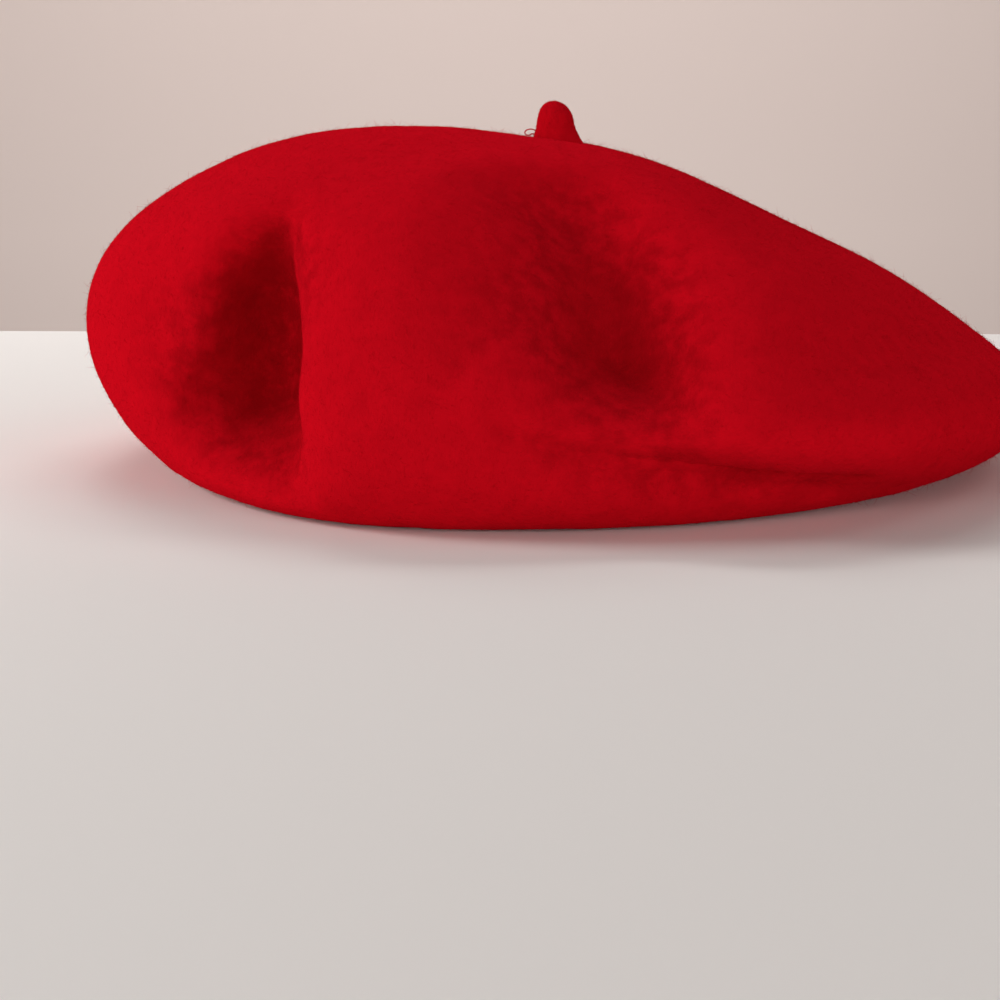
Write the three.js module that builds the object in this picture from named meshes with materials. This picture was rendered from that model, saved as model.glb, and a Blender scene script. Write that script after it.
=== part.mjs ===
// A felted wool beret with a short stem, lying on a flat surface with its head opening down.
// Millimetres, +Z up. The surface is Z = 0, +X is the viewer's right and -Y is towards the viewer.
// Azimuths are in degrees round the stem: 0 is +X, 90 the back, 180 the left and 270 the front.
import * as THREE from 'three';

// Driving dimensions.
const RIM_RADIUS = 123; // the widest reach of the felt from the stem's axis
const CROWN_HEIGHT = 82; // the felt's outer face at the foot of the stem
const CROWN_TILT = 5; // degrees that the felt slopes down to the right under the stem
const OPENING_RADIUS = 83; // the head opening, to the middle of its rolled edge
const WALL = 2.2; // thickness of the felt
const HEM_WALL = 4; // thickness of the felt where its edge is turned in
const HEM_WIDTH = 14; // how far the turned edge reaches back from the opening
const HEM_STEP = 5; // the run over which the turned edge thins to the plain felt
const STEM_HEIGHT = 9.6;
const STEM_RADIUS = 5.1;
const STEM_LEAN = 7; // degrees that the stem leans to the left of the felt's own slope
const STEM_GAP = 0.2; // clearance between the stem and the felt

// How the surface bends.
const FOOT_SOFTNESS = 0.5; // share of the underside that curls flat before the foot
const FOLD_FADE = 0.46; // share of a fold's length over which it fades at each end
const FOOT_HOLD = 5; // height over which the folds grow from nothing where the felt lies flat
const FOLD_TAPER = 0.5; // share of its spread that a fold loses at its ends

// Fineness of the faceted surface.
const COLUMNS = 84;
const CROWN_STEPS = 20;
const BELLY_STEPS = 9;
const FOOT_STEPS = 2;
const EDGE_STEPS = 4;
const STEM_SIDES = 24;
const FOLD_SAMPLES = 60;
const STEP_SPREAD = 0.82; // below 1 the steps near the stem are wider than those near the rim

// Where the columns are crowded: extra of 1 doubles them at the azimuth, and width is in degrees.
const CROWDING = [
  { azimuth: 232, width: 12, extra: 2.4 },
  { azimuth: 275, width: 35, extra: 0.6 },
];

// A section is a cut through the felt from the stem's axis outwards: over the crown to the rim, its widest
// point, under the belly to the foot, and flat along the surface to the opening.
// reach: radius of the rim, as a share of RIM_RADIUS. rim: height of the rim, a share of CROWN_HEIGHT.
// top: how far the crown stays level, a share of reach. shoulder: how steeply it meets the rim, a share of
// its drop. belly: how far the felt stays upright under the rim, a share of the rim's height.
// foot: radius where the felt meets the surface, as a share of OPENING_RADIUS.
const SECTIONS = [
  { azimuth: 0, reach: 1.0, rim: 0.2, top: 0.36, shoulder: 0.22, belly: 0.6, foot: 1.12 },
  { azimuth: 30, reach: 0.99, rim: 0.24, top: 0.4, shoulder: 0.3, belly: 0.6, foot: 1.12 },
  { azimuth: 60, reach: 0.97, rim: 0.3, top: 0.45, shoulder: 0.45, belly: 0.6, foot: 1.12 },
  { azimuth: 90, reach: 0.95, rim: 0.34, top: 0.5, shoulder: 0.55, belly: 0.6, foot: 1.12 },
  { azimuth: 120, reach: 0.96, rim: 0.38, top: 0.52, shoulder: 0.6, belly: 0.6, foot: 1.12 },
  { azimuth: 150, reach: 0.97, rim: 0.42, top: 0.57, shoulder: 0.65, belly: 0.6, foot: 1.12 },
  { azimuth: 180, reach: 0.985, rim: 0.44, top: 0.62, shoulder: 0.73, belly: 0.5, foot: 1.1 },
  { azimuth: 210, reach: 0.95, rim: 0.4, top: 0.62, shoulder: 0.75, belly: 0.55, foot: 1.12 },
  { azimuth: 240, reach: 0.91, rim: 0.3, top: 0.6, shoulder: 0.78, belly: 0.68, foot: 1.16 },
  { azimuth: 270, reach: 0.9, rim: 0.3, top: 0.55, shoulder: 0.7, belly: 0.6, foot: 1.07 },
  { azimuth: 300, reach: 0.95, rim: 0.31, top: 0.5, shoulder: 0.45, belly: 0.5, foot: 1.04 },
  { azimuth: 330, reach: 0.98, rim: 0.27, top: 0.41, shoulder: 0.3, belly: 0.52, foot: 1.05 },
];

// A fold is a valley, or a ridge where its depth is negative, along a line over the felt.
// line: azimuth and place of its start, middle and end. The place is 0 at the stem, 1 at the rim and 2 at the
// foot. depth: its deepest, as a share of CROWN_HEIGHT. left, right: how far it spreads to the two sides of
// the line, seen along it from outside, as shares of RIM_RADIUS. edge: 2 is rounded at the bottom, and less
// is creased. way: the azimuth that the felt is pushed level from. Without it the felt is pushed straight in.
const FOLDS = [
  // The deep hollow at the left of the front, its creased bottom, and the pleat that stands beside it.
  { line: [[239, 1.7], [235, 1.12], [226, 0.54]], depth: 0.06, left: 0.36, right: 0.08, edge: 1.8, way: 258 },
  { line: [[239, 1.76], [236, 1.18], [228, 0.6]], depth: 0.52, left: 0.25, right: 0.09, edge: 1.1, way: 260 },
  { line: [[248, 1.8], [245, 0.96], [240, 0.34]], depth: -0.06, left: 0.08, right: 0.12, edge: 2 },
  // The valley that runs down from the stem, the pocket at its lower end, and the dent at its head.
  { line: [[287, 1.38], [283, 0.92], [284, 0.3]], depth: 0.31, left: 0.22, right: 0.09, edge: 1.2 },
  { line: [[288, 1.16], [281, 0.92], [277, 0.6]], depth: 0.09, left: 0.16, right: 0.05, edge: 1.3 },
  { line: [[246, 0.5], [268, 0.42], [294, 0.38]], depth: 0.05, left: 0.07, right: 0.14, edge: 2 },
  // The brim that stands out at the right, with the hollow above it and the crease below it.
  { line: [[270, 0.93], [310, 0.9], [362, 0.86]], depth: 0.05, left: 0.16, right: 0.06, edge: 1.6 },
  { line: [[258, 1.06], [300, 1.06], [358, 1.02]], depth: -0.07, left: 0.06, right: 0.07, edge: 2 },
  { line: [[248, 0.98], [281, 1.2], [326, 1.4]], depth: 0.07, left: 0.04, right: 0.1, edge: 1.4 },
  // The faint crease across the panel between the hollow and the valley.
  { line: [[269, 0.6], [261, 0.8], [253, 1.04]], depth: 0.018, left: 0.06, right: 0.06, edge: 1.6 },
  // The swell of the crown between the stem and the left shoulder.
  { line: [[215, 0.1], [188, 0.38], [176, 0.72]], depth: -0.035, left: 0.36, right: 0.36, edge: 2 },
  // Two soft dents at the back.
  { line: [[58, 1.1], [76, 0.75], [100, 0.44]], depth: 0.06, left: 0.24, right: 0.28, edge: 2 },
  { line: [[138, 1.4], [127, 0.98], [118, 0.6]], depth: 0.06, left: 0.2, right: 0.16, edge: 2 },
];

// Half of the stem's outline from its foot up, as shares of STEM_RADIUS and STEM_HEIGHT.
const STEM_PROFILE = [
  { radius: 0, height: 0 },
  { radius: 1.18, height: 0 },
  { radius: 1.16, height: 0.06 },
  { radius: 1.06, height: 0.24 },
  { radius: 1, height: 0.46 },
  { radius: 0.97, height: 0.64 },
  { radius: 0.82, height: 0.82 },
  { radius: 0.48, height: 0.96 },
  { radius: 0, height: 1 },
];

const DEGREE = Math.PI / 180;

// The smooth closed curve through one column of SECTIONS, read at an azimuth.
function around(column, azimuth) {
  const count = SECTIONS.length;
  const place = (azimuth / 360) * count;
  const first = Math.floor(place);
  const t = place - first;
  const [a, b, c, d] = [-1, 0, 1, 2].map((k) => SECTIONS[(first + k + count) % count][column]);
  return b + (t / 2) * (c - a + t * (2 * a - 5 * b + 4 * c - d + t * (3 * (b - c) + d - a)));
}

// The three stretches of the section at an azimuth, as curves of radius and height.
function section(azimuth) {
  const reach = around('reach', azimuth) * RIM_RADIUS;
  const rim = around('rim', azimuth) * CROWN_HEIGHT;
  const foot = around('foot', azimuth) * OPENING_RADIUS;
  const level = around('top', azimuth) * reach;
  const tilt = -Math.tan(CROWN_TILT * DEGREE) * Math.cos(azimuth * DEGREE) * level;
  const shoulder = around('shoulder', azimuth) * (CROWN_HEIGHT - rim);
  const upright = around('belly', azimuth) * rim;
  const point = (radius, height) => new THREE.Vector2(radius, height);
  return {
    crown: new THREE.CubicBezierCurve(
      point(0, CROWN_HEIGHT),
      point(level, CROWN_HEIGHT + tilt),
      point(reach, rim + shoulder),
      point(reach, rim),
    ),
    belly: new THREE.CubicBezierCurve(
      point(reach, rim),
      point(reach, rim - upright),
      point(foot + FOOT_SOFTNESS * (reach - foot), 0),
      point(foot, 0),
    ),
    foot: new THREE.LineCurve(point(foot, 0), point(OPENING_RADIUS + HEM_WALL / 2, 0)),
  };
}

// The point of the felt before it is folded, at a place down a section: 1 the rim, 2 the foot, 3 the opening.
function plainPoint(azimuth, place) {
  const { crown, belly, foot } = section(azimuth);
  const stretch = [crown, belly, foot][Math.ceil(place) - 1];
  const { x: radius, y: height } = stretch.getPointAt(place - Math.ceil(place) + 1);
  return new THREE.Vector3(radius * Math.cos(azimuth * DEGREE), radius * Math.sin(azimuth * DEGREE), height);
}

// The azimuths of the columns, spaced by the running sum of their density.
function columnAzimuths() {
  const crowd = (azimuth, row) => row.extra * Math.exp(-(((azimuth - row.azimuth) / row.width) ** 2));
  const density = (azimuth) => CROWDING.reduce((sum, row) => sum + crowd(azimuth, row), 1);
  const sums = [0];
  for (let azimuth = 0; azimuth < 360; azimuth++) sums.push(sums[azimuth] + density(azimuth + 0.5));
  return Array.from({ length: COLUMNS }, (_, j) => {
    const sum = (sums[360] * j) / COLUMNS;
    const whole = sums.findLastIndex((value) => value <= sum);
    return whole + (sum - sums[whole]) / (sums[whole + 1] - sums[whole]);
  });
}

// The places of the rows down a section, after the single point under the stem.
function rowPlaces() {
  const steps = (count) => Array.from({ length: count }, (_, i) => (i + 1) / count);
  return [
    ...steps(CROWN_STEPS).map((share) => share ** STEP_SPREAD),
    ...steps(BELLY_STEPS).map((share) => 1 + share),
    ...steps(FOOT_STEPS).map((share) => 2 + share),
  ];
}

// Normals of a grid of rows of points, each row running anticlockwise, pointing out of the felt.
function normalsOf(rows) {
  return rows.map((row, i) =>
    row.map((_, j) => {
      const count = row.length;
      const along = new THREE.Vector3().subVectors(row[(j + 1) % count], row[(j + count - 1) % count]);
      const above = rows[Math.max(i - 1, 0)][j];
      const below = rows[Math.min(i + 1, rows.length - 1)][j];
      return new THREE.Vector3().subVectors(below, above).cross(along).normalize();
    }),
  );
}

// The point of a line nearest to a point of the felt: how far off it is, its share along the line, and the
// side of the line that the point lies on, from 1 at the left to -1 at the right.
function nearestOn(line, point, normal) {
  let nearest = { away: Infinity };
  for (let m = 0; m + 1 < line.length; m++) {
    const run = new THREE.Vector3().subVectors(line[m + 1], line[m]);
    const offset = new THREE.Vector3().subVectors(point, line[m]);
    const t = THREE.MathUtils.clamp(offset.dot(run) / run.lengthSq(), 0, 1);
    offset.addScaledVector(run, -t);
    const away = offset.length();
    if (away < nearest.away) {
      const side = run.normalize().cross(offset.normalize()).dot(normal);
      nearest = { away, share: (m + t) / (line.length - 1), side };
    }
  }
  return nearest;
}

// Pushes the felt in along each fold, and keeps it above the surface that it lies on.
function fold(rows) {
  const normals = normalsOf(rows);
  const folds = FOLDS.map(({ line, depth, way, ...shape }) => ({
    ...shape,
    depth: depth * CROWN_HEIGHT,
    points: new THREE.CatmullRomCurve3(line.map((spot) => plainPoint(...spot))).getSpacedPoints(FOLD_SAMPLES),
    way: way && new THREE.Vector3(Math.cos(way * DEGREE), Math.sin(way * DEGREE), 0),
  }));
  return rows.map((row, i) =>
    row.map((point, j) => {
      const free = THREE.MathUtils.smoothstep(point.z, 0, FOOT_HOLD);
      const folded = point.clone();
      for (const { points, depth, left, right, edge, way } of folds) {
        const { away, share, side } = nearestOn(points, point, normals[i][j]);
        const leftness = THREE.MathUtils.smoothstep(side, -1, 1);
        const strength = THREE.MathUtils.smoothstep(Math.min(share, 1 - share), 0, FOLD_FADE);
        const taper = 1 - FOLD_TAPER * (1 - strength);
        const spread = RIM_RADIUS * THREE.MathUtils.lerp(right, left, leftness) * taper;
        const push = free * depth * strength * Math.exp(-((away / spread) ** edge));
        folded.addScaledVector(way ?? normals[i][j], -push);
      }
      return folded.setZ(Math.max(folded.z, 0));
    }),
  );
}

// The inner face lies one wall inside the outer one, and thicker felt away from it along the hem.
function innerFace(outer) {
  const normals = normalsOf(outer);
  return outer.map((row, i) =>
    row.map((point, j) => {
      const toEdge = point.distanceTo(outer.at(-1)[j]);
      const hem = 1 - THREE.MathUtils.smoothstep(toEdge, HEM_WIDTH, HEM_WIDTH + HEM_STEP);
      return point.clone().addScaledVector(normals[i][j], -THREE.MathUtils.lerp(WALL, HEM_WALL, hem));
    }),
  );
}

// The rolled edge of the opening: half circles from the outer face to the inner one.
function rolledEdge(outerRow, innerRow) {
  return Array.from({ length: EDGE_STEPS - 1 }, (_, k) => {
    const turn = (Math.PI * (k + 1)) / EDGE_STEPS;
    return outerRow.map((below, j) => {
      const above = innerRow[j];
      const inwards = new THREE.Vector3(-below.x, -below.y, 0).normalize();
      const down = new THREE.Vector3().subVectors(below, above).normalize();
      const half = above.distanceTo(below) / 2;
      return new THREE.Vector3()
        .addVectors(below, above)
        .multiplyScalar(0.5)
        .addScaledVector(inwards, half * Math.sin(turn))
        .addScaledVector(down, half * Math.cos(turn));
    });
  });
}

// A closed surface from a first point, rings and a last point.
function closedSurface(first, rings, last) {
  const count = rings[0].length;
  const points = [first, ...rings.flat(), last];
  const at = (ring, j) => 1 + ring * count + (j % count);
  const faces = [];
  for (let j = 0; j < count; j++) {
    faces.push(0, at(0, j), at(0, j + 1));
    for (let ring = 0; ring + 1 < rings.length; ring++) {
      faces.push(at(ring, j), at(ring + 1, j), at(ring + 1, j + 1));
      faces.push(at(ring, j), at(ring + 1, j + 1), at(ring, j + 1));
    }
    faces.push(at(rings.length - 1, j), points.length - 1, at(rings.length - 1, j + 1));
  }
  const geometry = new THREE.BufferGeometry().setFromPoints(points);
  geometry.setIndex(faces);
  geometry.computeVertexNormals();
  return geometry;
}

// The felt: one hollow shell, open where the head goes in.
function makeCrown(material) {
  const azimuths = columnAzimuths();
  const plain = rowPlaces().map((place) => azimuths.map((azimuth) => plainPoint(azimuth, place)));
  const outer = fold(plain);
  const inner = innerFace(outer);
  const edge = rolledEdge(outer.at(-1), inner.at(-1));
  const top = new THREE.Vector3(0, 0, CROWN_HEIGHT);
  const innerTop = new THREE.Vector3(0, 0, CROWN_HEIGHT - WALL);
  const rings = [...outer, ...edge, ...inner.reverse()];
  const crown = new THREE.Mesh(closedSurface(top, rings, innerTop), material);
  crown.name = 'crown';
  return crown;
}

// The stem, standing on the slope of the felt.
function makeStem(material) {
  const profile = STEM_PROFILE.map(
    ({ radius, height }) => new THREE.Vector2(radius * STEM_RADIUS, height * STEM_HEIGHT),
  );
  const geometry = new THREE.LatheGeometry(profile, STEM_SIDES);
  geometry.rotateX(90 * DEGREE);
  geometry.applyMatrix4(new THREE.Matrix4().makeShear(0, 0, 0, 0, -Math.tan(STEM_LEAN * DEGREE), 0));
  const stem = new THREE.Mesh(geometry, material);
  stem.name = 'stem';
  stem.rotation.y = CROWN_TILT * DEGREE;
  stem.position.z = CROWN_HEIGHT + STEM_GAP;
  return stem;
}

const felt = new THREE.MeshStandardMaterial({ color: 0xb80716, roughness: 0.95, metalness: 0 });
const pieces = [makeCrown(felt), makeStem(felt)];

// The origin is under the middle of the beret, on the surface.
const beret = new THREE.Group();
beret.add(...pieces);
const middle = new THREE.Box3().setFromObject(beret).getCenter(new THREE.Vector3());
for (const piece of pieces) piece.position.add(new THREE.Vector3(-middle.x, -middle.y, 0));

export default beret;
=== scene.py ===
import math

import bmesh
import bpy
import numpy as np
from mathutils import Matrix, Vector, noise
from mathutils.bvhtree import BVHTree


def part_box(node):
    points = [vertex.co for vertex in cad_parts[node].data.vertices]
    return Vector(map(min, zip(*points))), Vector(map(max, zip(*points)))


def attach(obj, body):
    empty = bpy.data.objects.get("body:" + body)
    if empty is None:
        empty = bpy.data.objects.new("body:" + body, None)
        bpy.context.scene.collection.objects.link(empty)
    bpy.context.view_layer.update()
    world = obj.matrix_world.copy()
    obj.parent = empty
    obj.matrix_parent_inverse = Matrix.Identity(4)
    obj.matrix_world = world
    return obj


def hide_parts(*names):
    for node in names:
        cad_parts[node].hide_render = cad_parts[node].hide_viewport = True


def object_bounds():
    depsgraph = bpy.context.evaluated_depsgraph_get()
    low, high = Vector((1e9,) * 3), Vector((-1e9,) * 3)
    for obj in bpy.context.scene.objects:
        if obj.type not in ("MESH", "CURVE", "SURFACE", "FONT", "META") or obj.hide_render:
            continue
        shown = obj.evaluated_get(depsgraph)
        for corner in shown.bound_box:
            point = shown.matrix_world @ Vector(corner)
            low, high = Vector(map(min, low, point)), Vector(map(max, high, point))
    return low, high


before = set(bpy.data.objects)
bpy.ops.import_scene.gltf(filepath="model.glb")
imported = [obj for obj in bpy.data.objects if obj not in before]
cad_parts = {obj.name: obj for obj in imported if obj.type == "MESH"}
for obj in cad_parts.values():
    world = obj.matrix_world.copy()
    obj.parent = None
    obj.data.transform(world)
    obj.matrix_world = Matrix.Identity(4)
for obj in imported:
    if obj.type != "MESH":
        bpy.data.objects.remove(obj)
cad_low, cad_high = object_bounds()

MM = 0.001
SEED = 41

# The picture, in its pixels, and where the camera stands from the foot of the stem.
PICTURE = 1000
FOCAL = 2002
STEM_COLUMN = 555
EYE_LEVEL_ROW = 88
CAMERA_DISTANCE = 0.520
CAMERA_HEIGHT = 0.095
SENSOR = 36

# The stage, its lights and its plain surfaces.
FLOOR_BACK = 0.268
FLOOR_HALF = 2.0
BACKDROP_BACK = 1.1
BACKDROP_SIZE = 5.0
FLOOR_COLOUR = (0.88, 0.84, 0.81)
BACKDROP_COLOUR = (0.74, 0.61, 0.56)
WORLD_COLOUR = (1.0, 0.97, 0.95)
WORLD_STRENGTH = 0.12
PLAIN_SURFACE = {"Roughness": 0.9, "Specular IOR Level": 0.1}

# The lights stand round the beret: azimuth from the viewer towards the right, elevation, and power in watts.
LIGHT_DISTANCE = 1.15
LIGHT_SIZE = 0.4
LIGHTS = [
    {"name": "key", "azimuth": -85, "elevation": 24, "power": 6.6},
    {"name": "front", "azimuth": -32, "elevation": 9, "power": 4.3},
    {"name": "right", "azimuth": 46, "elevation": 9, "power": 3.95},
    {"name": "rim", "azimuth": 90, "elevation": 45, "power": 0.5},
    {"name": "back", "azimuth": -150, "elevation": 50, "power": 1.9},
]
# The backdrop's own lights, one above the picture and one below the level of the floor.
BACKDROP_LIGHT_BACK = 0.5
BACKDROP_LIGHT_SIZE = 0.6
BACKDROP_LIGHTS = [
    {"name": "backdrop_high", "height": 0.9, "aim": 0.1, "power": 4.5},
    {"name": "backdrop_low", "height": -0.7, "aim": 0, "power": 3.4},
]

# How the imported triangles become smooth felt.
WELD = 0.01 * MM
QUAD_ANGLE = 60
SMOOTHING_LEVELS = 2

# The turned hem is the felt lower than HEM_RISE, and its edge is the innermost HEM_EDGE of that.
HEM_RISE = 5 * MM
HEM_EDGE = 3 * MM

# The uneven thickness of the felt, as layers of noise.
RELIEF = [
    {"size": 14 * MM, "height": 0.16 * MM},
    {"size": 6 * MM, "height": 0.12 * MM},
]

# Small swells and dents of the felt: the picture's column and row that they are centred on, and, as shares of
# the crown's height, their radius, their reach to the front and back, and how far they move the felt to the
# right, to the back and up.
TOUCHES = [
    # The outline: the swell left of the stem, and the slope at the right.
    {"column": 462, "row": 137, "radius": 0.235, "reach": 0.235, "move": (0, 0, 0.021)},
    {"column": 762, "row": 207, "radius": 0.235, "reach": 1.05, "move": (0, 0, -0.019)},
    {"column": 830, "row": 240, "radius": 0.165, "reach": 1.05, "move": (0, 0, -0.0105)},
    # The hollow: deeper at its foot, shallower at its upper left, and the edge of the pleat at its right.
    {"column": 212, "row": 412, "radius": 0.14, "reach": 0.165, "move": (0, 0.07, 0)},
    {"column": 262, "row": 420, "radius": 0.13, "reach": 0.15, "move": (0, 0.105, 0)},
    {"column": 280, "row": 400, "radius": 0.094, "reach": 0.14, "move": (0, 0.047, 0)},
    {"column": 228, "row": 235, "radius": 0.14, "reach": 0.14, "move": (0, -0.047, 0)},
    {"column": 210, "row": 285, "radius": 0.117, "reach": 0.165, "move": (0, -0.05, 0)},
    {"column": 208, "row": 338, "radius": 0.105, "reach": 0.165, "move": (0, -0.046, 0)},
    {"column": 312, "row": 268, "radius": 0.117, "reach": 0.14, "move": (-0.04, 0, 0)},
    {"column": 319, "row": 312, "radius": 0.117, "reach": 0.14, "move": (-0.028, 0, 0)},
    {"column": 323, "row": 356, "radius": 0.117, "reach": 0.14, "move": (-0.024, 0, 0)},
    {"column": 321, "row": 402, "radius": 0.117, "reach": 0.14, "move": (-0.04, 0, 0)},
    # The valley, from its head to its pocket.
    {"column": 560, "row": 220, "radius": 0.13, "reach": 0.13, "move": (0, 0.028, -0.019)},
    {"column": 590, "row": 285, "radius": 0.105, "reach": 0.105, "move": (0, 0.0165, -0.005)},
    {"column": 600, "row": 385, "radius": 0.105, "reach": 0.105, "move": (0, 0.0235, 0)},
    {"column": 642, "row": 376, "radius": 0.082, "reach": 0.082, "move": (0, -0.019, 0)},
    # The underside of the brim.
    {"column": 660, "row": 486, "radius": 0.094, "reach": 0.14, "move": (0, 0.028, 0)},
    {"column": 745, "row": 484, "radius": 0.094, "reach": 0.14, "move": (0, 0.04, 0)},
    {"column": 830, "row": 483, "radius": 0.094, "reach": 0.14, "move": (0, 0.035, 0)},
]
# Fine creases: the picture's columns and rows that they run through, and their width and depth as shares of
# the crown's height.
CREASES = [
    {
        "path": [(505, 432), (560, 452), (620, 463), (700, 471), (780, 476), (860, 479)],
        "width": 0.026,
        "depth": 0.0175,
    },
    {"path": [(590, 470), (660, 480), (740, 486), (830, 487)], "width": 0.0375, "depth": 0.0105},
    {"path": [(542, 252), (500, 310), (462, 360), (432, 398)], "width": 0.04, "depth": 0.006},
    {"path": [(385, 205), (372, 270), (366, 340), (368, 400)], "width": 0.053, "depth": 0.006},
]
CREASE_SAMPLES = 40

# How far the felt is sunk below its hull, as shares of the crown's height, where shade painted into its
# colour begins
# and where it is full: its darker mottles, its darker painted-shade tone, and the patches in that tone.
MOTTLE_SHADE_SUNK = (-0.035, 0.082)
PAINTED_SHADE_SUNK = (0.035, 0.235)
SHADE_PATCHY_SUNK = (0.117, 0.281)

# The noise of the mottles, and its values where a mottle begins and where it is full. The noise of the
# patches in the painted shade, its value that leaves that shade as it is, and how strongly the others change
# it.
MOTTLE_NOISE = {"scale": 230, "detail": 4, "roughness": 0.6}
MOTTLE_LIMITS = (0.71, 0.29)
SHADE_PATCH_NOISE = {"scale": 330, "detail": 5, "roughness": 0.7}
SHADE_PATCH_LEVEL = 0.42
SHADE_PATCH_STRENGTH = 3.6

# The felt's colours, as red, green, blue and opacity, its shine, and its bumps.
FELT_RED = (0.50, 0.0022, 0.0080, 1)
# The mottles are a darker red at random, but only where the felt is sunk, so they are partly painted shade.
FELT_MOTTLE_SHADE = (0.31, 0.0014, 0.0048, 1)
# Painted shade: the darker tone that the felt takes where it is sunk deep, in the hollow, the valley and the
# creases.
FELT_PAINTED_SHADE = (0.28, 0.0014, 0.0040, 1)
FELT_SURFACE = {
    "Roughness": 1.0,
    "Specular IOR Level": 0.0,
    "Sheen Weight": 0.2,
    "Sheen Roughness": 0.6,
    "Sheen Tint": (1.0, 0.01, 0.03, 1),
}
BUMP_STRENGTH = 0.5
BUMPS = [
    {"scale": 260, "detail": 3, "roughness": 0.6, "distortion": 0.4, "height": 0.3 * MM},
    {"scale": 1100, "detail": 3, "roughness": 0.6, "distortion": 0.4, "height": 0.12 * MM},
]

# The nap: short fibres all over the outside, and fewer long loose ones, in a piece for each side, with the
# azimuth that the side faces. lean: degrees from the felt's normal.
NAP_SIDES = {"nap_front": 270, "nap_right": 0, "nap_back": 90, "nap_left": 180}
NAP_SHORT = {
    "count": 36000, "bends": 0, "length": (0.5 * MM, 1.3 * MM), "radius": 0.04 * MM, "lean": (45, 82)
}
NAP_LONG = {
    "count": 1100, "bends": 2, "length": (1.6 * MM, 3.6 * MM), "radius": 0.03 * MM, "lean": (35, 80)
}
# How far a fibre curls to its side and droops, as shares of its length, and how much it thins.
NAP_CURL = 0.45
NAP_DROOP = 0.15
NAP_THINNING = 0.5
NAP_SIDES_OVERLAP = 0.02
# How deep a fibre's root stands in the felt, and how high above the floor the nap begins.
NAP_ROOT = 0.1 * MM
NAP_FLOOR = 1.5 * MM

# The stem narrows upwards and rounds over at its top. It does so towards a line that stands to the left of
# its middle by STEM_SWAY, a share of its height.
STEM_TAPER = 0.09
STEM_CROWNING = 0.12
STEM_SWAY = 0.04
# How high the stem's foot spreads, and how far to the left, to the right and down, as shares of its height.
STEM_FLARE = {"up": 0.4, "left": 0.034, "right": 0.167, "down": 0.137}
STEM_RELIEF = [{"size": 2.2 * MM, "height": 0.14 * MM}]
# How high above the stem's foot its nap begins, as a share of its height.
STEM_NAP_RISE = 0.08
STEM_NAP = {
    "count": 2600, "bends": 1, "length": (0.35 * MM, 0.9 * MM), "radius": 0.035 * MM, "lean": (40, 80)
}

# The loop is a round strand. TUBE_ASIDE is a direction that no stretch of it runs in.
LOOP_RADIUS = 0.16 * MM
LOOP_SIDES = 6
LOOP_STEPS = 5
TUBE_ASIDE = [0.3, 1.0, 0.2]
# The loop's points: leftwards, towards the viewer and up from the stem's left foot, as shares of its height.
LOOP = [
    {"left": -0.08, "near": 0.09, "up": 0.26},
    {"left": 0.03, "near": 0.12, "up": 0.3},
    {"left": 0.14, "near": 0.13, "up": 0.285},
    {"left": 0.2, "near": 0.12, "up": 0.225},
    {"left": 0.17, "near": 0.1, "up": 0.165},
    {"left": 0.09, "near": 0.09, "up": 0.15},
    {"left": 0.02, "near": 0.09, "up": 0.185},
    {"left": -0.08, "near": 0.09, "up": 0.16},
]

crown_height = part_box("crown")[1].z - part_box("crown")[0].z
stem_low, stem_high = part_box("stem")
stem_height = stem_high.z - stem_low.z
stem_middle = (stem_low.x + stem_high.x) / 2
# The foot of the line that the stem narrows towards. The camera stands straight in front of it.
pole = Vector((stem_middle - STEM_SWAY * stem_height, (stem_low.y + stem_high.y) / 2, stem_low.z))


def make_camera():
    """The camera looks down a little, and left, so that the stem stands where the picture has it."""
    pitch = math.atan((PICTURE / 2 - EYE_LEVEL_ROW) / FOCAL)
    yaw = math.atan((STEM_COLUMN - PICTURE / 2) / FOCAL * math.cos(pitch))
    data = bpy.data.cameras.new("camera")
    data.sensor_width = SENSOR
    data.lens = FOCAL / PICTURE * SENSOR
    camera = bpy.data.objects.new("camera", data)
    bpy.context.scene.collection.objects.link(camera)
    camera.location = (pole.x, pole.y - CAMERA_DISTANCE, CAMERA_HEIGHT)
    aim = Vector((-math.tan(yaw), 1, -math.tan(pitch) / math.cos(yaw)))
    camera.rotation_euler = aim.to_track_quat("-Z", "Y").to_euler()
    bpy.context.scene.camera = camera
    bpy.context.view_layer.update()
    return camera


def new_object(name, mesh):
    piece = bpy.data.objects.new(name, mesh)
    bpy.context.scene.collection.objects.link(piece)
    return piece


def shade_smooth(mesh):
    mesh.polygons.foreach_set("use_smooth", np.ones(len(mesh.polygons), bool))
    mesh.update()


def coordinates(mesh):
    found = np.empty(len(mesh.vertices) * 3)
    mesh.vertices.foreach_get("co", found)
    return found.reshape(-1, 3)


def vertex_normals(mesh):
    found = np.empty(len(mesh.vertices) * 3)
    mesh.vertex_normals.foreach_get("vector", found)
    return found.reshape(-1, 3)


def set_coordinates(mesh, points):
    mesh.vertices.foreach_set("co", points.astype(np.float32).ravel())
    mesh.update()


def quads_of(node):
    """A copy of a CAD node's mesh with its triangles joined into the quads of its grid."""
    grid = bmesh.new()
    grid.from_mesh(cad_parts[node].data)
    bmesh.ops.remove_doubles(grid, verts=grid.verts, dist=WELD)
    wide = math.radians(QUAD_ANGLE)
    bmesh.ops.join_triangles(
        grid, faces=grid.faces, angle_face_threshold=wide, angle_shape_threshold=wide
    )
    bmesh.ops.recalc_face_normals(grid, faces=grid.faces)
    mesh = bpy.data.meshes.new(node)
    grid.to_mesh(mesh)
    grid.free()
    return mesh


def subdivided(mesh):
    """The mesh after its smoothing subdivision."""
    carrier = new_object("carrier", mesh)
    modifier = carrier.modifiers.new("smooth", "SUBSURF")
    modifier.levels = SMOOTHING_LEVELS
    evaluated = carrier.evaluated_get(bpy.context.evaluated_depsgraph_get())
    smooth = bpy.data.meshes.new_from_object(evaluated)
    bpy.data.objects.remove(carrier)
    return smooth


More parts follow.
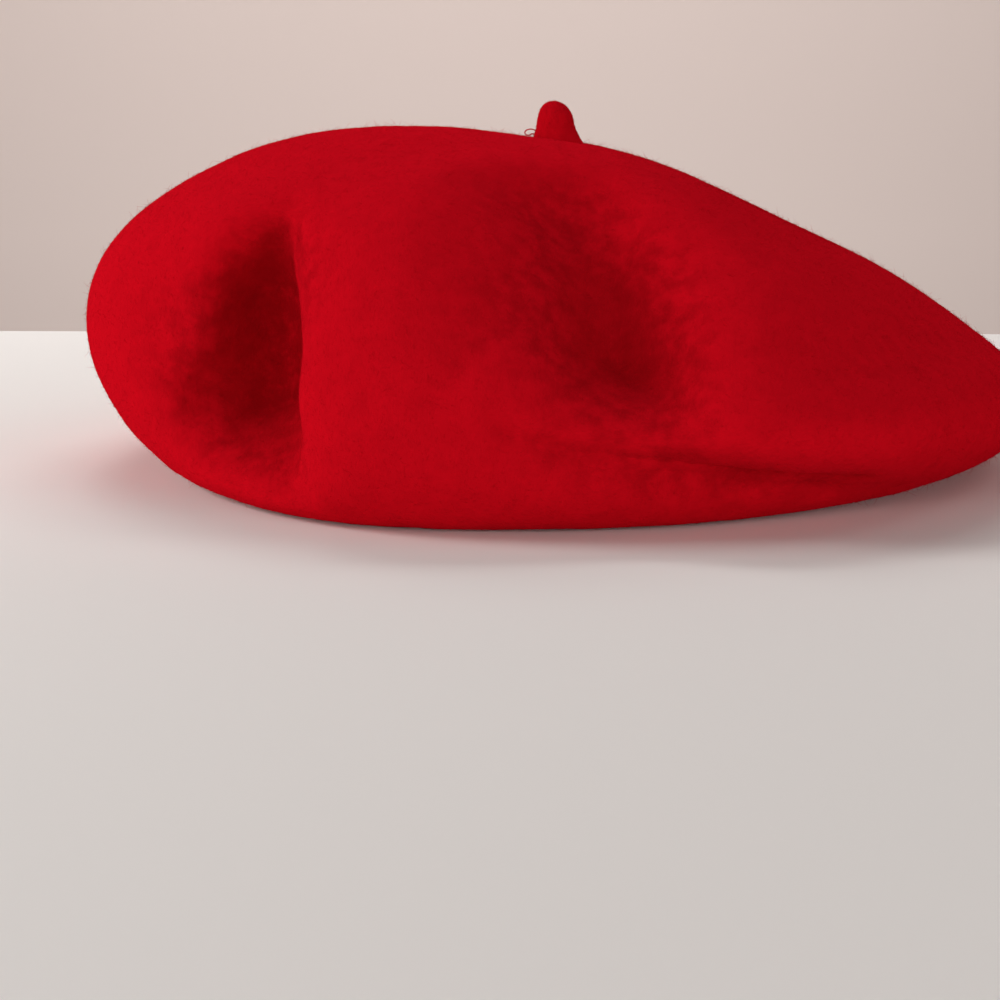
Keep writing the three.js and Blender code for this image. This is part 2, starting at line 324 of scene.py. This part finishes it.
def raise_relief(mesh, layers):
    """The uneven thickness of felted wool, as shallow noise along the normals, kept above the floor."""
    points, normals = coordinates(mesh), vertex_normals(mesh)
    heights = np.zeros(len(points))
    for number, layer in enumerate(layers):
        shift = Vector((SEED * (number + 1), 0, 0))
        heights += layer["height"] * np.array(
            [noise.noise(Vector(point) / layer["size"] + shift) for point in points]
        )
    points += normals * heights[:, None]
    points[:, 2] = np.maximum(points[:, 2], 0)
    set_coordinates(mesh, points)


def surface_tree(mesh):
    """The mesh's surface as it is now, for casting rays at."""
    return BVHTree.FromPolygons(coordinates(mesh).tolist(), [list(face.vertices) for face in mesh.polygons])


def seen_at(tree, column, row):
    """The point of the felt that the camera sees at a column and row of the picture."""
    ahead = Vector(((column - PICTURE / 2) / FOCAL, (PICTURE / 2 - row) / FOCAL, -1))
    return tree.ray_cast(camera.location, camera.matrix_world.to_3x3() @ ahead)[0]


def shape_by_touches(mesh):
    """Moves the felt, both its faces together, by each of the touches."""
    points, tree = coordinates(mesh), surface_tree(mesh)
    for touch in TOUCHES:
        middle = seen_at(tree, touch["column"], touch["row"])
        spread = crown_height * np.array([touch["radius"], touch["reach"], touch["radius"]])
        away = np.linalg.norm((points - middle) / spread, axis=1)
        points += np.exp(-(away**2))[:, None] * touch["move"] * crown_height
    set_coordinates(mesh, points)


def press_creases(mesh):
    """Presses the fine creases in along the normals."""
    points, normals, tree = coordinates(mesh), vertex_normals(mesh), surface_tree(mesh)
    depths = np.zeros(len(points))
    for crease in CREASES:
        path = np.array(crease["path"], float)
        stations = np.linspace(0, len(path) - 1, CREASE_SAMPLES)
        spots = [np.interp(stations, np.arange(len(path)), path[:, axis]) for axis in (0, 1)]
        line = np.array([seen_at(tree, column, row) for column, row in zip(*spots)])
        away = np.min([np.linalg.norm(points - spot, axis=1) for spot in line], axis=0)
        depths += crease["depth"] * np.exp(-((away / crease["width"] / crown_height) ** 2))
    set_coordinates(mesh, points - normals * depths[:, None] * crown_height)


def outside_of(mesh):
    """Which vertices are on the outer face: those reached from the top without crossing the hem's edge."""
    points = coordinates(mesh)
    radius = np.hypot(points[:, 0] - pole.x, points[:, 1] - pole.y)
    low = points[:, 2] < HEM_RISE
    edge = low & (radius < radius[low].min() + HEM_EDGE)
    ends = np.empty(len(mesh.edges) * 2, int)
    mesh.edges.foreach_get("vertices", ends)
    ends = ends.reshape(-1, 2)
    ends = ends[~edge[ends].any(axis=1)]
    reached = np.zeros(len(points), bool)
    reached[points[:, 2].argmax()] = True
    while True:
        touched = reached[ends].any(axis=1)
        grown = reached.copy()
        grown[ends[touched].ravel()] = True
        if (grown == reached).all():
            return reached
        reached = grown


def mark_sunk(mesh):
    """Marks how far the felt is sunk below the hull that spans it, a share of its height, for the shade
    painted into its colour.
    """
    hull = bmesh.new()
    hull.from_mesh(mesh)
    made = bmesh.ops.convex_hull(hull, input=hull.verts, use_existing_faces=False)
    spare = [part for part in made["geom_interior"] + made["geom_unused"] if part.is_valid]
    bmesh.ops.delete(hull, geom=[v for v in spare if isinstance(v, bmesh.types.BMVert)], context="VERTS")
    tree = BVHTree.FromBMesh(hull)
    depths = [tree.find_nearest(vertex.co)[3] / crown_height for vertex in mesh.vertices]
    hull.free()
    mesh.attributes.new("sunk", "FLOAT", "POINT").data.foreach_set("value", depths)


def unit(vectors):
    return vectors / np.linalg.norm(vectors, axis=1)[:, None]


def sample_surface(mesh, allowed, count):
    """Random points on the triangles whose three corners are allowed, with the surface's normals there."""
    mesh.calc_loop_triangles()
    corners = np.empty(len(mesh.loop_triangles) * 3, int)
    mesh.loop_triangles.foreach_get("vertices", corners)
    corners = corners.reshape(-1, 3)
    points, normals = coordinates(mesh), vertex_normals(mesh)
    corners = corners[allowed[corners].all(axis=1)]
    a, b, c = points[corners[:, 0]], points[corners[:, 1]], points[corners[:, 2]]
    areas = np.linalg.norm(np.cross(b - a, c - a), axis=1)
    chosen = draw.choice(len(corners), count, p=areas / areas.sum())
    u, v = draw.random(count), draw.random(count)
    over = u + v > 1
    u[over], v[over] = 1 - u[over], 1 - v[over]
    shares = np.stack([1 - u - v, u, v], axis=1)[:, :, None]
    found = (points[corners[chosen]] * shares).sum(axis=1)
    facing = (normals[corners[chosen]] * shares).sum(axis=1)
    return found, unit(facing)


def fibre_arrays(roots, normals, kind):
    """Closed tapering fibres as points and triangles: a ring for each bend and the root, and a tip."""
    count, bends = len(roots), kind["bends"]
    lean = np.radians(draw.uniform(*kind["lean"], count))[:, None]
    length = draw.uniform(*kind["length"], count)[:, None]
    flat = unit(np.cross(normals, unit(draw.normal(size=(count, 3)))))
    across = np.cross(normals, flat)
    way = normals * np.cos(lean) + flat * np.sin(lean)
    curl = (across * draw.uniform(-NAP_CURL, NAP_CURL, count)[:, None] - normals * NAP_DROOP) * length
    start = roots - normals * NAP_ROOT
    rings = []
    for step in range(bends + 1):
        along = step / (bends + 1)
        middle = start + way * length * along + curl * along**2
        thickness = kind["radius"] * (1 - NAP_THINNING * along)
        for corner in range(3):
            turn = 2 * math.pi * corner / 3
            side = across * math.cos(turn) + np.cross(way, across) * math.sin(turn)
            rings.append(middle + side * thickness)
    tip = start + way * length + curl
    each = len(rings) + 1
    points = np.stack([*rings, tip], axis=1).reshape(-1, 3)
    pattern = [(0, 2, 1)]
    for step in range(bends):
        for corner in range(3):
            a, b = 3 * step + corner, 3 * step + (corner + 1) % 3
            pattern += [(a, b, b + 3), (a, b + 3, a + 3)]
    last = 3 * bends
    pattern += [(last + corner, last + (corner + 1) % 3, last + 3) for corner in range(3)]
    faces = (np.arange(count) * each)[:, None, None] + np.array(pattern)[None]
    points[:, 2] = np.maximum(points[:, 2], kind["radius"])
    return points, faces.reshape(-1, 3)


def mesh_of(name, parts):
    """One mesh from several arrays of points and triangles."""
    mesh = bpy.data.meshes.new(name)
    starts = np.cumsum([0] + [len(points) for points, _ in parts])
    points = np.concatenate([points for points, _ in parts])
    faces = np.concatenate([faces + start for (_, faces), start in zip(parts, starts)])
    mesh.vertices.add(len(points))
    mesh.vertices.foreach_set("co", points.astype(np.float32).ravel())
    mesh.loops.add(faces.size)
    mesh.loops.foreach_set("vertex_index", faces.ravel().astype(np.int32))
    mesh.polygons.add(len(faces))
    mesh.polygons.foreach_set("loop_start", np.arange(0, faces.size, 3, dtype=np.int32))
    mesh.update(calc_edges=True)
    mesh.validate()
    return mesh


def tube_arrays(route, radius, sides):
    """A closed tube along a route of points, with a point at each end."""
    ahead = unit(np.gradient(route, axis=0))
    side = unit(np.cross(ahead, np.tile(TUBE_ASIDE, (len(route), 1))))
    other = np.cross(ahead, side)
    turns = [2 * math.pi * corner / sides for corner in range(sides)]
    rings = [route + radius * (side * math.cos(t) + other * math.sin(t)) for t in turns]
    points = np.stack(rings, axis=1).reshape(-1, 3)
    points = np.concatenate([points, route[:1] - ahead[:1] * radius, route[-1:] + ahead[-1:] * radius])
    faces = []
    for row in range(len(route) - 1):
        for corner in range(sides):
            a, b = row * sides + corner, row * sides + (corner + 1) % sides
            faces += [(a, b, b + sides), (a, b + sides, a + sides)]
    first, last = len(points) - 2, len(points) - 1
    top = (len(route) - 1) * sides
    for corner in range(sides):
        follows = (corner + 1) % sides
        faces += [(follows, corner, first), (top + corner, top + follows, last)]
    return points, np.array(faces)


def add_node(tree, kind, output, sockets, **settings):
    """Adds a shader node, sets or links its sockets by name or number, and gives one of its outputs."""
    node = tree.nodes.new(kind)
    for name, value in settings.items():
        setattr(node, name, value)
    for name, value in sockets.items():
        if isinstance(value, bpy.types.NodeSocket):
            tree.links.new(value, node.inputs[name])
        else:
            node.inputs[name].default_value = value
    return node.outputs[output]


def cloud(tree, place, scale, detail, roughness, distortion=0.0):
    sockets = {
        "Vector": place, "Scale": scale, "Detail": detail, "Roughness": roughness, "Distortion": distortion
    }
    return add_node(tree, "ShaderNodeTexNoise", "Fac", sockets)


def arithmetic(tree, operation, *values):
    return add_node(tree, "ShaderNodeMath", "Value", dict(enumerate(values)), operation=operation)


def mixed(tree, share, first, second):
    """One colour mixed into another. The colours are the node's sockets 6 and 7, and its output 2."""
    return add_node(tree, "ShaderNodeMix", 2, {0: share, 6: first, 7: second}, data_type="RGBA")


def ramped(tree, value, low, high):
    sockets = {"Value": value, "From Min": low, "From Max": high}
    return add_node(tree, "ShaderNodeMapRange", "Result", sockets, interpolation_type="SMOOTHSTEP")


def felt_colour(tree, place):
    """Red felt with shade painted into its colour: darker mottles where it is sunk, and a darker, patchy tone
    of painted shade where it is sunk deep.
    """
    sunk = add_node(tree, "ShaderNodeAttribute", "Fac", {}, attribute_name="sunk")
    mottles = ramped(tree, cloud(tree, place, **MOTTLE_NOISE), *MOTTLE_LIMITS)
    # Random mottles, kept to the sunk felt: partly painted shade.
    mottle_shading = arithmetic(tree, "MULTIPLY", mottles, ramped(tree, sunk, *MOTTLE_SHADE_SUNK))
    felt_with_mottle_shade = mixed(tree, mottle_shading, FELT_RED, FELT_MOTTLE_SHADE)
    # Painted shade: the felt is darkened by how deep it is sunk below its hull, broken into patches by noise.
    grain = arithmetic(tree, "SUBTRACT", cloud(tree, place, **SHADE_PATCH_NOISE), SHADE_PATCH_LEVEL)
    shade_patchiness = arithmetic(tree, "MULTIPLY", ramped(tree, sunk, *SHADE_PATCHY_SUNK), -SHADE_PATCH_STRENGTH)
    painted_shade_amount = arithmetic(tree, "MULTIPLY_ADD", grain, shade_patchiness, ramped(tree, sunk, *PAINTED_SHADE_SUNK))
    share = add_node(tree, "ShaderNodeClamp", "Result", {"Value": painted_shade_amount})
    return mixed(tree, share, felt_with_mottle_shade, FELT_PAINTED_SHADE)


def felt_bumps(tree, place):
    """Fine bumps, one layer over another."""
    sockets = {"Strength": BUMP_STRENGTH}
    for row in BUMPS:
        bumps = cloud(tree, place, row["scale"], row["detail"], row["roughness"], row["distortion"])
        sockets |= {"Distance": row["height"], "Height": bumps}
        sockets["Normal"] = add_node(tree, "ShaderNodeBump", "Normal", sockets)
    return sockets["Normal"]


def new_material(name, surface):
    """A material with its shader's constant sockets set, and that shader."""
    material = bpy.data.materials.new(name)
    material.use_nodes = True
    shader = material.node_tree.nodes["Principled BSDF"]
    for socket, value in surface.items():
        shader.inputs[socket].default_value = value
    return material, shader


def make_felt_material():
    material, shader = new_material("red_felt", FELT_SURFACE)
    tree = material.node_tree
    place = add_node(tree, "ShaderNodeTexCoord", "Object", {})
    tree.links.new(felt_colour(tree, place), shader.inputs["Base Color"])
    tree.links.new(felt_bumps(tree, place), shader.inputs["Normal"])
    return material


def dress(piece, material):
    """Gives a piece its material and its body."""
    piece.data.materials.clear()
    piece.data.materials.append(material)
    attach(piece, "root")


def make_crown(material):
    mesh = subdivided(quads_of("crown"))
    mesh.name = "felt_crown"
    shape_by_touches(mesh)
    press_creases(mesh)
    raise_relief(mesh, RELIEF)
    mark_sunk(mesh)
    shade_smooth(mesh)
    crown = new_object("felt_crown", mesh)
    dress(crown, material)
    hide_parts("crown")
    return crown


def shape_stem(mesh):
    """Rounds the stem's top, and spreads its foot into the felt, most at the right."""
    points = coordinates(mesh)
    up = np.clip((points[:, 2] - stem_low.z) / stem_height, 0, 1)
    away = points[:, :2] - [pole.x, pole.y]
    away *= (1 - STEM_TAPER * np.sqrt(up) - STEM_CROWNING * up**4)[:, None]
    reach = np.maximum(np.linalg.norm(away, axis=1), MM)[:, None]
    foot = (1 - np.clip(up / STEM_FLARE["up"], 0, 1)) ** 2 * stem_height
    rightness = 0.5 + 0.5 * away[:, 0] / reach[:, 0]
    spread = STEM_FLARE["left"] + (STEM_FLARE["right"] - STEM_FLARE["left"]) * rightness
    points[:, :2] = [pole.x, pole.y] + away * (1 + (foot * spread)[:, None] / reach)
    points[:, 2] -= foot * STEM_FLARE["down"]
    set_coordinates(mesh, points)


def make_stem(material):
    mesh = subdivided(quads_of("stem"))
    mesh.name = "felt_stem"
    shape_stem(mesh)
    raise_relief(mesh, STEM_RELIEF)
    shade_smooth(mesh)
    stem = new_object("felt_stem", mesh)
    dress(stem, material)
    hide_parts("stem")
    return stem


def make_loop(material):
    """A loose loop of wool at the stem's left foot, on a smooth curve through its points."""
    foot = np.array([stem_low.x, pole.y, stem_low.z])
    knots = [foot + stem_height * np.array([-row["left"], -row["near"], row["up"]]) for row in LOOP]
    route = []
    for i in range(len(knots) - 1):
        a, b = knots[max(i - 1, 0)], knots[i]
        c, d = knots[i + 1], knots[min(i + 2, len(knots) - 1)]
        for t in np.linspace(0, 1, LOOP_STEPS, endpoint=False):
            turn = t * (2 * a - 5 * b + 4 * c - d + t * (3 * (b - c) + d - a))
            route.append(b + t / 2 * (c - a + turn))
    route.append(knots[-1])
    tube = tube_arrays(np.array(route), LOOP_RADIUS, LOOP_SIDES)
    loop = new_object("stem_loop", mesh_of("stem_loop", [tube]))
    shade_smooth(loop.data)
    dress(loop, material)


def make_nap(name, source, kinds, allowed, material):
    """Fibres over part of a surface, in one piece."""
    parts = []
    for kind in kinds:
        roots, normals = sample_surface(source.data, allowed, kind["count"])
        parts.append(fibre_arrays(roots, normals, kind))
    nap = new_object(name, mesh_of(name, parts))
    shade_smooth(nap.data)
    dress(nap, material)


def make_crown_nap(crown, material):
    points = coordinates(crown.data)
    bare = outside_of(crown.data) & (points[:, 2] > NAP_FLOOR)
    for name, azimuth in NAP_SIDES.items():
        allowed = bare & faces_azimuth(points, azimuth)
        make_nap(name, crown, [NAP_SHORT, NAP_LONG], allowed, material)


def make_stem_nap(stem, material):
    allowed = coordinates(stem.data)[:, 2] > stem_low.z + STEM_NAP_RISE * stem_height
    make_nap("nap_stem", stem, [STEM_NAP], allowed, material)


def faces_azimuth(points, azimuth):
    """Which points are within 45 degrees of an azimuth round the stem, and a little more."""
    toward = [math.cos(math.radians(azimuth)), math.sin(math.radians(azimuth))]
    away = points[:, :2] - [pole.x, pole.y]
    return away @ toward >= np.linalg.norm(away, axis=1) * (math.sqrt(0.5) - NAP_SIDES_OVERLAP)


def make_plain_sheet(name, corners, colour):
    """A flat sheet with four corners, for the stage."""
    mesh = bpy.data.meshes.new(name)
    mesh.from_pydata(corners, [], [(0, 1, 2, 3)])
    mesh.materials.append(new_material(name, PLAIN_SURFACE | {"Base Color": (*colour, 1)})[0])
    return new_object(name, mesh)


def make_stage():
    """A pale floor that ends a little behind the beret, and a beige backdrop well behind it."""
    floor_corners = [
        (-FLOOR_HALF, -FLOOR_HALF, 0),
        (FLOOR_HALF, -FLOOR_HALF, 0),
        (FLOOR_HALF, FLOOR_BACK, 0),
        (-FLOOR_HALF, FLOOR_BACK, 0),
    ]
    half = BACKDROP_SIZE / 2
    backdrop_corners = [
        (-half, BACKDROP_BACK, -half),
        (half, BACKDROP_BACK, -half),
        (half, BACKDROP_BACK, half),
        (-half, BACKDROP_BACK, half),
    ]
    floor = make_plain_sheet("floor", floor_corners, FLOOR_COLOUR)
    backdrop = make_plain_sheet("backdrop", backdrop_corners, BACKDROP_COLOUR)


def add_area_light(name, place, aim, size, power):
    data = bpy.data.lights.new(name, "AREA")
    data.size = size
    data.energy = power
    light = bpy.data.objects.new(name, data)
    bpy.context.scene.collection.objects.link(light)
    light.location = place
    light.rotation_euler = (Vector(aim) - Vector(place)).to_track_quat("-Z", "Y").to_euler()


def make_lights():
    middle = (cad_low + cad_high) / 2
    for row in LIGHTS:
        azimuth, elevation = math.radians(row["azimuth"]), math.radians(row["elevation"])
        level = math.cos(elevation)
        way = Vector((math.sin(azimuth) * level, -math.cos(azimuth) * level, math.sin(elevation)))
        add_area_light(row["name"], middle + way * LIGHT_DISTANCE, middle, LIGHT_SIZE, row["power"])
    for row in BACKDROP_LIGHTS:
        place = (0, BACKDROP_LIGHT_BACK, row["height"])
        add_area_light(row["name"], place, (0, BACKDROP_BACK, row["aim"]), BACKDROP_LIGHT_SIZE, row["power"])
    world = bpy.data.worlds.new("world")
    bpy.context.scene.world = world
    world.use_nodes = True
    background = world.node_tree.nodes["Background"]
    background.inputs["Color"].default_value = (*WORLD_COLOUR, 1)
    background.inputs["Strength"].default_value = WORLD_STRENGTH


bpy.context.scene.view_settings.view_transform = "Standard"
camera = make_camera()
make_stage()
make_lights()
draw = np.random.default_rng(SEED)
felt = make_felt_material()
crown = make_crown(felt)
stem = make_stem(felt)
make_loop(felt)
make_crown_nap(crown, felt)
make_stem_nap(stem, felt)
